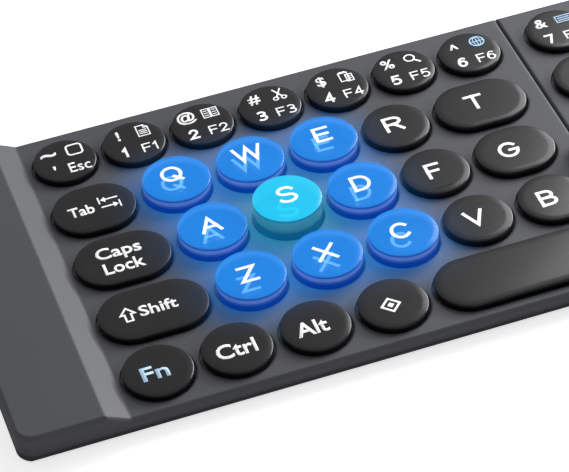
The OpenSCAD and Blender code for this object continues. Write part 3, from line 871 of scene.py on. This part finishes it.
def screwTemplate(length):
    # a low head with a hexagonal socket, and a shank with rings for its thread, standing on z = 0
    z = screwSizes
    profile = [(0, z["deep"], 1), (z["socket"], z["deep"], 1), (z["socket"], 0, 1),
               (z["head"] - z["chamfer"], 0, 0), (z["head"], z["chamfer"], 0), (z["head"], z["high"], 0),
               (z["shank"], z["high"], 0)]
    for turn in range(int((length - z["high"] - 0.3 * mm) / z["pitch"])):
        foot = z["high"] + turn * z["pitch"]
        profile.append((z["shank"] - z["thread"], foot + z["pitch"] / 2, 0))
        profile.append((z["shank"], foot + z["pitch"], 0))
    profile += [(z["shank"] - z["thread"], length - 0.1 * mm, 0), (0, length, 0)]
    work = bmesh.new()
    rings = []
    for radius, height, hexagonal in profile:
        ring = []
        for corner in range(z["corners"]):
            turn = 2 * math.pi * corner / z["corners"]
            reach = radius
            if hexagonal:
                reach *= math.cos(math.pi / 6) / math.cos(turn % (math.pi / 3) - math.pi / 6)
            ring.append(work.verts.new((reach * math.cos(turn), reach * math.sin(turn), height)))
        rings.append(ring)
    for low, high in zip(rings, rings[1:]):
        for number in range(z["corners"]):
            after = (number + 1) % z["corners"]
            work.faces.new([low[number], low[after], high[after], high[number]])
    return tidied(meshFrom(work, "screw"))


def screwTree(template):
    # the screw on every point of the mesh that it is given
    t = Tree("screws")
    start = t.input("Geometry", kind="NodeSocketGeometry")
    material = t.input("Material", kind="NodeSocketMaterial")
    points = t.node("GeometryNodeMeshToPoints", None, {"Mesh": start})
    shape = t.node("GeometryNodeObjectInfo", None, {"Object": template}, out="Geometry")
    placed = t.node("GeometryNodeInstanceOnPoints", None, {"Points": points, "Instance": shape})
    t.end(placed, material)
    return t


def addScrews():
    for half in ("left", "right"):
        found = islands(half + "_screws")
        template = newPiece("screwTemplate", screwTemplate(found[0][1].z - found[0][0].z))
        tree = screwTree(template)
        points = bpy.data.meshes.new("screwPlaces")
        feet = [((low.x + high.x) / 2, (low.y + high.y) / 2, low.z) for low, high in found]
        points.from_pydata(feet, [], [])
        piece = newPiece(half + "_screw_set", tree.run("screws", {"Material": finishes["screw"]}, points))
        bpy.data.objects.remove(template)
        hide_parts(half + "_screws")
        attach(piece, half + "_half")


blackCaps()
litCaps()
addDomes()
addScrews()
print("key caps made:", len(places))


# Legends
legendSizes = {
    "thick": 0.03 * mm,
    "sink": 0.02 * mm,
    "bold": 0.018,
    "plain": 0.004,
    "letter": 5.0,
    "tallLetter": 5.4,
    "pen": 0.76,
    "digit": (3.3, 0.56),
    "label": (2.9, 0.36),
    "gap": 0.13,
}
quarters = {
    "sign": (-2.9, 3.0),
    "digit": (-2.9, -2.95),
    "picture": (2.9, 3.0),
    "label": (2.9, -3.0),
    "longLabel": (2.6, -3.0),
}


def textMesh(text, capHeight, width=None, weight=None):
    # lettering centred on its own box, capHeight tall
    def solid(body):
        curve = bpy.data.curves.new("legend", "FONT")
        curve.body = body
        curve.size = 1
        curve.resolution_u = 3
        curve.offset = legendSizes["plain"] if weight is None else weight
        holder = bpy.data.objects.new("legend", curve)
        bpy.context.scene.collection.objects.link(holder)
        bpy.context.view_layer.update()
        graph = bpy.context.evaluated_depsgraph_get()
        mesh = bpy.data.meshes.new_from_object(holder.evaluated_get(graph))
        bpy.data.objects.remove(holder)
        bpy.data.curves.remove(curve)
        return mesh

    ruler = solid("H")
    tall = max(v.co.y for v in ruler.vertices) - min(v.co.y for v in ruler.vertices)
    bpy.data.meshes.remove(ruler)
    mesh = solid(text)
    xs = [v.co.x for v in mesh.vertices]
    ys = [v.co.y for v in mesh.vertices]
    scaleY = capHeight / tall
    scaleX = scaleY if width is None else width / (max(xs) - min(xs))
    shift = Matrix.Translation((-(max(xs) + min(xs)) / 2, -(max(ys) + min(ys)) / 2, 0))
    mesh.transform(Matrix.Diagonal((scaleX, scaleY, 1, 1)) @ shift)
    return mesh


def flatMesh(outlines):
    # a flat mesh from closed outlines, given as lists of (x, y)
    work = bmesh.new()
    for outline in outlines:
        work.faces.new([work.verts.new((x, y, 0)) for x, y in outline])
    return meshFrom(work, "sign")


def thickened(mesh, x, y, z, material):
    # gives a flat sign its thickness and its place
    work = merged(mesh, 1e-7)
    for face in work.faces:
        if face.normal.z < 0:
            face.normal_flip()
    made = bmesh.ops.extrude_face_region(work, geom=work.faces[:], use_keep_orig=True)
    for item in made["geom"]:
        if isinstance(item, bmesh.types.BMVert):
            item.co.z += legendSizes["thick"]
    bmesh.ops.recalc_face_normals(work, faces=work.faces)
    for vert in work.verts:
        vert.co += Vector((x, y, z - legendSizes["sink"]))
    work.to_mesh(mesh)
    work.free()
    mesh.materials.clear()
    mesh.materials.append(material)
    return mesh


# Small drawn signs, in millimetres around their own middle
def stroke(points, width, closed=False):
    # a line of even width, with mitred bends, as a row of quads
    pts = [Vector(p) for p in points]
    if closed:
        pts = [pts[-1]] + pts + [pts[0], pts[1]]
    sides = []
    for number, here in enumerate(pts):
        before = (here - pts[number - 1]).normalized() if number else None
        after = (pts[number + 1] - here).normalized() if number + 1 < len(pts) else None
        if closed and (before is None or after is None):
            continue
        reach = width / 2
        if before is None or after is None:
            along = after or before
            here = here - along * reach if before is None else here + along * reach
        else:
            along = (before + after).normalized()
            reach = min(reach / max(along.dot(before), 0.2), width * 1.6)
        across = Vector((-along.y, along.x)) * reach
        sides.append((here + across, here - across))
    return [[tuple(a[0]), tuple(a[1]), tuple(b[1]), tuple(b[0])] for a, b in zip(sides, sides[1:])]


def bow(x, y, rx, ry, start, end, steps=14):
    turns = [math.radians(start + (end - start) * i / steps) for i in range(steps + 1)]
    return [(x + rx * math.cos(a), y + ry * math.sin(a)) for a in turns]


def arc(x, y, radius, start, end, steps=16):
    return bow(x, y, radius, radius, start, end, steps)


def dash(x0, x1, y, width):
    return stroke([(x0, y), (x1, y)], width)


def box(x0, y0, x1, y1):
    return [(x0, y0), (x1, y0), (x1, y1), (x0, y1)]


def signEsc():
    r, h = 0.8, 1.7
    points = []
    for cx, cy, a in ((h - r, h - r, 0), (r - h, h - r, 90), (r - h, r - h, 180), (h - r, r - h, 270)):
        points += arc(cx, cy, r, a, a + 90, 5)
    return stroke(points, 0.42, True)


def signPage():
    outline = [(-1.3, -1.8), (1.3, -1.8), (1.3, 0.9), (0.4, 1.8), (-1.3, 1.8)]
    fold = [(0.4, 1.8), (0.4, 0.9), (1.3, 0.9)]
    lines = [dash(-0.75, 0.75, y, 0.26) for y in (-1.0, -0.4, 0.2)]
    return stroke(outline, 0.28, True) + stroke(fold, 0.22) + sum(lines, [])


def signPages():
    signs = []
    for shift in (-1.15, 0.75):
        signs += stroke(box(shift - 0.8, -1.5, shift + 0.8, 1.5), 0.26, True)
        for y in (-0.8, 0.0, 0.8):
            signs += dash(shift - 0.35, shift + 0.35, y, 0.24)
    return signs


def signScissors():
    rings = [stroke(arc(side * 0.95, -1.35, 0.55, 0, 360, 14), 0.3) for side in (-1, 1)]
    blades = [stroke([(side * 0.62, -0.85), (-side * 0.85, 1.8)], 0.36) for side in (-1, 1)]
    return sum(rings + blades, [])


def signClipboard():
    back = stroke(box(-1.3, -1.6, 0.7, 1.4), 0.28, True)
    sheet = stroke(box(0.1, -1.9, 1.6, 0.5), 0.28, True)
    lines = dash(0.5, 1.2, -0.3, 0.22) + dash(0.5, 1.2, -1.0, 0.22)
    return back + dash(-0.75, 0.15, 1.5, 0.6) + sheet + lines


def signLens():
    return stroke(arc(-0.35, 0.4, 1.15, 0, 360, 20), 0.36) + stroke([(0.5, -0.5), (1.6, -1.6)], 0.46)


def signGlobe():
    rim = stroke(arc(0, 0, 1.65, 0, 360, 24), 0.3)
    oval = bow(0, 0, 0.8, 1.6, 0, 342, 19)
    return rim + dash(-1.6, 1.6, 0, 0.22) + stroke([(0, -1.6), (0, 1.6)], 0.22) + stroke(oval, 0.22, True)


def signBoard():
    dots = [dash(x - 0.16, x + 0.16, y, 0.34) for x in (-1.1, -0.37, 0.37, 1.1) for y in (0.35, -0.4)]
    return stroke(box(-1.9, -1.1, 1.9, 1.1), 0.28, True) + sum(dots, [])


def signSpeaker():
    body = [[(-1.6, -0.6), (-0.8, -0.6), (0.1, -1.4), (0.1, 1.4), (-0.8, 0.6), (-1.6, 0.6)]]
    return body + stroke(arc(0.1, 0, 0.9, -50, 50, 8), 0.26) + stroke(arc(0.1, 0, 1.5, -50, 50, 8), 0.26)


def signPlay():
    return [[(-1.4, -1.1), (0.4, 0), (-1.4, 1.1)]] + stroke([(0.9, -1.0), (0.9, 1.0)], 0.4) \
        + stroke([(1.6, -1.0), (1.6, 1.0)], 0.4)


def signLock():
    shackle = [(-0.7, 0.2)] + arc(0, 0.8, 0.7, 180, 0, 10) + [(0.7, 0.2)]
    return [box(-1.1, -1.5, 1.1, 0.2)] + stroke(shackle, 0.32)


def signArrow(turn, size=1.6):
    # a plain arrow, turned by so many degrees from pointing right
    c, s = math.cos(math.radians(turn)), math.sin(math.radians(turn))
    shaft = dash(-size, size * 0.6, 0, 0.4)
    head = [[(size * 0.2, -size * 0.62), (size, 0), (size * 0.2, size * 0.62)]]
    return [[(x * c - y * s, x * s + y * c) for x, y in outline] for outline in shaft + head]


def signTab():
    signs = []
    for y, way in ((1.15, -1), (-1.15, 1)):
        signs += stroke([(way * 2.15, y - 0.95), (way * 2.15, y + 0.95)], 0.34)
        signs += dash(-way * 1.9, way * 1.2, y, 0.4)
        signs += [[(way * 0.7, y + 0.85 * way), (way * 0.7, y - 0.85 * way), (way * 1.8, y)]]
    return signs


def signShift():
    outline = [(0, 2.0), (-1.55, 0.1), (-0.7, 0.1), (-0.7, -2.0), (0.7, -2.0), (0.7, 0.1), (1.55, 0.1)]
    return stroke(outline, 0.42, True)


def signLozenge():
    return stroke([(0, 2.0), (-2.0, 0), (0, -2.0), (2.0, 0)], 0.5, True) \
        + [[(0, 0.8), (-0.8, 0), (0, -0.8), (0.8, 0)]]


# Capitals and digits as pen strokes in a box of 1 by 1, with the width of the box as a share of its height
stem = [(0, 0), (0, 1)]
bowlB = bow(0.52, 0.76, 0.38, 0.24, 90, -90, 8)
bowlP = bow(0.55, 0.74, 0.45, 0.26, 90, -90, 8)
penLetters = {
    "A": (0.95, [[(0, 0), (0.5, 1), (1, 0)], [(0.19, 0.34), (0.81, 0.34)]]),
    "B": (0.80, [stem + bowlB + [(0, 0.52)],
                 [(0.52, 0.52)] + bow(0.56, 0.26, 0.44, 0.26, 90, -90, 8) + [(0, 0)]]),
    "C": (0.92, [bow(0.5, 0.5, 0.5, 0.5, 42, 318, 26)]),
    "D": (0.86, [stem + bow(0.42, 0.5, 0.58, 0.5, 90, -90) + [(0, 0)]]),
    "E": (0.76, [[(1, 1), (0, 1), (0, 0), (1, 0)], [(0, 0.52), (0.92, 0.52)]]),
    "F": (0.70, [[(1, 1), (0, 1), (0, 0)], [(0, 0.5), (0.85, 0.5)]]),
    "G": (0.96, [bow(0.5, 0.5, 0.5, 0.5, 42, 350, 28) + [(1, 0.47), (0.56, 0.47)]]),
    "H": (0.82, [stem, [(1, 0), (1, 1)], [(0, 0.52), (1, 0.52)]]),
    "I": (0.17, [[(0.5, 0), (0.5, 1)]]),
    "J": (0.60, [[(1, 1)] + bow(0.5, 0.3, 0.5, 0.3, 0, -170)]),
    "K": (0.84, [stem, [(1, 1), (0, 0.34)], [(0.34, 0.58), (1, 0)]]),
    "L": (0.70, [[(0, 1), (0, 0), (1, 0)]]),
    "M": (0.98, [[(0, 0), (0, 1), (0.5, 0.12), (1, 1), (1, 0)]]),
    "N": (0.82, [[(0, 0), (0, 1), (1, 0), (1, 1)]]),
    "O": (0.98, [bow(0.5, 0.5, 0.5, 0.5, 0, 360, 32)]),
    "P": (0.80, [stem + bowlP + [(0, 0.48)]]),
    "Q": (0.98, [bow(0.5, 0.5, 0.5, 0.5, 0, 360, 32), [(0.60, 0.30), (0.98, -0.04)]]),
    "R": (0.86, [stem + bowlP + [(0, 0.48)], [(0.52, 0.48), (1, 0)]]),
    "S": (0.80, [bow(0.5, 0.755, 0.46, 0.245, 22, 270, 16) + bow(0.5, 0.255, 0.5, 0.255, 90, -158, 16)[1:]]),
    "T": (0.86, [[(0, 1), (1, 1)], [(0.5, 1), (0.5, 0)]]),
    "U": (0.80, [[(0, 1)] + bow(0.5, 0.38, 0.5, 0.38, 180, 360) + [(1, 1)]]),
    "V": (0.92, [[(0, 1), (0.5, 0), (1, 1)]]),
    "W": (1.34, [[(0, 1), (0.25, 0), (0.5, 1), (0.75, 0), (1, 1)]]),
    "X": (0.92, [[(0, 0), (1, 1)], [(0, 1), (1, 0)]]),
    "Y": (0.92, [[(0, 1), (0.5, 0.44), (1, 1)], [(0.5, 0.44), (0.5, 0)]]),
    "Z": (0.82, [[(0, 1), (1, 1), (0, 0), (1, 0)]]),
    "0": (0.68, [bow(0.5, 0.5, 0.5, 0.5, 0, 360, 28)]),
    "1": (0.40, [[(0.05, 0.74), (0.8, 0.98), (0.8, 0)]]),
    "2": (0.68, [bow(0.5, 0.71, 0.47, 0.29, 170, -32) + [(0, 0), (1, 0)]]),
    "3": (0.74, [bow(0.46, 0.755, 0.44, 0.245, 128, -90, 12), bow(0.46, 0.26, 0.50, 0.27, 90, -130, 14)]),
    "4": (0.72, [[(0.74, 0), (0.74, 1), (0, 0.28), (1, 0.28)]]),
    "5": (0.74, [[(0.92, 1), (0.20, 1), (0.12, 0.54)] + bow(0.44, 0.32, 0.52, 0.32, 112, -128, 14)]),
    "6": (0.68, [bow(0.5, 0.32, 0.48, 0.32, 0, 360, 24), bow(0.64, 0.34, 0.62, 0.66, 62, 176)]),
    "7": (0.66, [[(0, 1), (1, 1), (0.38, 0)]]),
    "8": (0.68, [bow(0.5, 0.76, 0.42, 0.24, 0, 360, 20), bow(0.5, 0.26, 0.5, 0.26, 0, 360, 22)]),
    "9": (0.68, [bow(0.5, 0.68, 0.48, 0.32, 0, 360, 24), bow(0.36, 0.66, 0.62, 0.66, -4, -118)]),
}


def penned(text, tall, pen):
    # capitals and digits in pen strokes, tall and wide in millimetres, centred on the word
    outlines = []
    x = 0.0
    for letter in text:
        share, lines = penLetters[letter]
        wide = share * tall
        for line in lines:
            points = [(x + pen / 2 + px * (wide - pen), pen / 2 + py * (tall - pen)) for px, py in line]
            outlines += stroke(points, pen)
        x += wide + legendSizes["gap"] * tall
    wide = x - legendSizes["gap"] * tall
    return [[(px - wide / 2, py - tall / 2) for px, py in outline] for outline in outlines]


def scaled(outlines):
    return [[(x * mm, y * mm) for x, y in outline] for outline in outlines]


def put(key, shape, x, y, material="white", z=None):
    px, py, _, _, top = places[key]
    mesh = flatMesh(scaled(shape)) if isinstance(shape, list) else shape
    return thickened(mesh, px + x * mm, py + y * mm, top if z is None else z, finishes[material])


def words(text, tall, width=None, bold=False):
    weight = legendSizes["bold"] if bold else legendSizes["plain"]
    return textMesh(text, tall * mm, width and width * mm, weight)


# Each legend is a list of signs: a shape, its place on the key, and where they differ its ink and height
def numberLegend(sign, digit, picture, label, ink="white"):
    tall, pen = legendSizes["digit"]
    figure = penned(digit, tall, pen) if digit in penLetters else words(digit, tall)
    where = "label" if len(label) < 3 else "longLabel"
    return [(words(sign, 3.2, None, True), *quarters["sign"]), (figure, *quarters["digit"]),
            (picture, *quarters["picture"], ink), (penned(label, *legendSizes["label"]), *quarters[where])]


def letterLegend(text, x=-0.4, y=0.3, tall=legendSizes["letter"], ink="white", z=None):
    return penned(text, tall, legendSizes["pen"]), x, y, ink, z


homeBar = (dash(-2.0, 2.0, 0, 0.5), -0.4, -5.5, "homeBar")


def finishLegend(name, body, parts):
    piece = joined(name, parts)
    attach(piece, body)


def leftLegends():
    legends = {
        "esc": [(words("~", 4.6, None, True), -3.1, 2.8), (signEsc(), 2.9, 2.8),
                (words("'", 3.3, None, True), -2.9, -1.9), (words("Esc", 3.2, 4.9), 2.6, -3.1)],
        "1": numberLegend("!", "1", signPage(), "F1"),
        "2": numberLegend("@", "2", signPages(), "F2"),
        "3": numberLegend("#", "3", signScissors(), "F3"),
        "4": numberLegend("$", "4", signClipboard(), "F4"),
        "5": numberLegend("%", "5", signLens(), "F5"),
        "6": numberLegend("^", "6", signGlobe(), "F6", "paleBlue"),
        "tab": [(words("Tab", 3.1, 5.7, True), -3.0, -0.2), (signTab(), 3.55, 0.4)],
        "caps": [(words("Caps", 3.5, 10.0, True), -0.5, 1.85), (words("Lock", 3.5, 9.0, True), -0.5, -2.6)],
        "shift": [(signShift(), -5.6, 0.1), (words("Shift", 3.15, 8.3, True), 1.0, 0.1)],
        "fn": [(words("Fn", 4.1, 5.8, True), -0.8, -0.5, "paleBlue")],
        "ctrl": [(words("Ctrl", 4.2, 8.6, True), -0.4, -0.5)],
        "alt": [(words("Alt", 4.2, 6.9, True), -1.0, -0.5)],
        "command": [(signLozenge(), -0.7, -0.5)],
        "r": [letterLegend("R", -0.5, 0.65)],
        "t": [letterLegend("T", -1.1, 0.65)],
        "f": [letterLegend("F", -0.5, 0.1), homeBar],
        "g": [letterLegend("G", -1.4, 0.2)],
        "v": [letterLegend("V", -0.7, 0.0)],
        "b": [letterLegend("B", -1.1, 0.0)],
    }
    for name, signs in legends.items():
        key = "key_" + name
        finishLegend("legend_" + name, key, [put(key, *sign) for sign in signs])


# The letters of the lit keys, and the dimmer image of each that shows inside the clear cap
litLetters = [("key_q", "Q", -0.6, 1.7), ("key_w", "W", 0.0, 1.7), ("key_e", "E", 0.1, 1.4),
              ("key_a", "A", -0.4, 0.4), ("key_s", "S", 0.3, 1.1), ("key_d", "D", -0.1, 0.5),
              ("key_z", "Z", -0.55, 0.3), ("key_x", "X", -0.3, 0.25), ("key_c", "C", -0.4, 0.5)]
innerDrop = {"lit": 2.7 * mm, "tall": 4.2 * mm}


def litLegends():
    ahead = Vector(cameraView["ahead"])
    for key, text, x, y in litLetters:
        kind, dim = ("tall", "tallGhost") if key == tallKey else ("lit", "ghost")
        tall = legendSizes["tallLetter" if key == tallKey else "letter"]
        innerZ = litSizes["baseTop"] + legendSizes["sink"]
        shift = (innerDrop[kind] - (places[key][4] - innerZ)) / -ahead.z
        dx, dy = -ahead.x * shift / mm, -ahead.y * shift / mm
        parts = [put(key, *letterLegend(text, x, y, tall, "litWhite")),
                 put(key, *letterLegend(text, x + dx, y + dy, tall, dim, innerZ))]
        piece = joined(key.replace("key_", "legend_"), parts)
        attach(piece, key)


rightTexts = {
    "keys_right_numbers": [("&", "7", signBoard(), "F7"), ("*", "8", signPlay(), "F8"),
                           ("(", "9", signSpeaker(), "F9"), (")", "0", signLock(), "F10"),
                           ("_", "-", signArrow(180), "F11"), ("+", "=", signArrow(0), "F12"),
                           "Del"],
    "keys_right_upper": ["Y", "U", "I", "O", "P", "[  ]"],
    "keys_right_home": ["H", "J", "K", "L", ";", "Enter"],
    "keys_right_lower": ["N", "M", ",", ".", "/", "Shift"],
    "keys_right_space": [None, "Alt", signArrow(180, 2.2), signArrow(90, 2.2), signArrow(0, 2.2)],
}


def rightLegends():
    for row, texts in rightTexts.items():
        parts = []
        for number, text in enumerate(texts):
            signs = []
            if isinstance(text, tuple):
                signs = numberLegend(*text, "paleBlue" if text[0] == "&" else "white")
            elif isinstance(text, list):
                signs = [(text, -0.2, 0.0)]
            elif text == "Del":
                signs = [(words(text, 3.6, 6.4, True), -0.3, 0.2)]
            elif text in penLetters:
                signs = [letterLegend(text)]
            elif text and len(text) > 1:
                signs = [(words(text, 3.4, None, True), -0.5, 0.0)]
            elif text:
                signs = [(words(text, 5.0, None, True), -0.5, 0.3)]
            if text == "J":
                signs.append(homeBar)
            parts += [put((row, number), *sign) for sign in signs]
        finishLegend(row.replace("keys_", "legends_"), row, parts)


leftLegends()
litLegends()
rightLegends()
print("legends made")


# Floor and world
def addFloor():
    work = bmesh.new()
    bmesh.ops.create_grid(work, x_segments=1, y_segments=1, size=3)
    bmesh.ops.translate(work, verts=work.verts, vec=(0, 0, -studio["floorDrop"]))
    f = Finish("studioFloor")
    seen = f.node("ShaderNodeLightPath", out="Is Camera Ray")
    shader = f.node("ShaderNodeBsdfDiffuse", None, {"Color": (0.94, 0.94, 0.95)})
    lift = f.node("ShaderNodeEmission", None, {"Color": (1, 1, 1), "Strength": seen * studio["floorLift"]})
    both = f.node("ShaderNodeAddShader", None, {0: shader, 1: lift})
    f.node("ShaderNodeOutputMaterial", None, {"Surface": both})
    floor = newPiece("studioFloor", meshFrom(work, "studioFloor"), [f.material])


def addWorld():
    # white to the camera, and a plain grey light otherwise
    world = bpy.data.worlds.new("studioWorld")
    bpy.context.scene.world = world
    world.use_nodes = True
    w = Graph(world.node_tree)
    seen = w.node("ShaderNodeLightPath", out="Is Camera Ray")
    gloss = w.node("ShaderNodeLightPath", out="Is Glossy Ray")
    through = w.node("ShaderNodeLightPath", out="Is Transmission Ray")
    white = seen.atLeast(gloss * studio["worldGloss"]).atLeast(through)
    grey = studio["worldGrey"]
    background = w.node("ShaderNodeBackground", None, {"Color": w.mix(white, (grey, grey, grey), (1, 1, 1))})
    w.node("ShaderNodeOutputWorld", None, {"Surface": background})


addFloor()
addWorld()
print("floor and world made")


def corners(box):
    return [[float(c) for c in corner] for corner in box]
